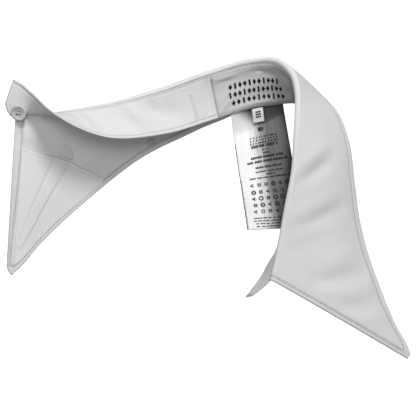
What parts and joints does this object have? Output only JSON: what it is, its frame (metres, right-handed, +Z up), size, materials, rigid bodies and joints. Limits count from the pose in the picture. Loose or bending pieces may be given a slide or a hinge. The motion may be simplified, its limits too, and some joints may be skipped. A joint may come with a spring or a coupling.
{
  "type": "detachable shirt collar",
  "caption": "Detachable long-point shirt collar with a stand band, fold-over leaf, stay pocket, sewn-in labels and a front button, lying open and half turned over",
  "frame": {"origin": "bottom centre of the overall bounding box, on the surface the collar lies on", "axes": "+X along the longest extent towards the right arm, +Y towards the centre back, +Z up, the shortest extent"},
  "size_m": [0.3152, 0.2468, 0.0651],
  "materials": {
    "band_cotton": "matte fine poplin weave",
    "leaf_cotton": "matte fine poplin weave",
    "pocket_cotton": "matte fine poplin weave",
    "stay_plastic": "satin",
    "woven_tape": "fine woven tape",
    "satin_tape": "satin sheen",
    "tag_tape": "fine woven tape",
    "button_resin": "polished"
  },
  "bodies": {
    "root": {"band": "band_cotton", "leaf": "leaf_cotton", "stay_pocket": "pocket_cotton", "collar_stay": "stay_plastic", "woven_label": "woven_tape", "satin_label": "satin_tape", "size_tag": "tag_tape", "front_button": "button_resin", "small_button": "button_resin"}
  },
  "joints": []
}
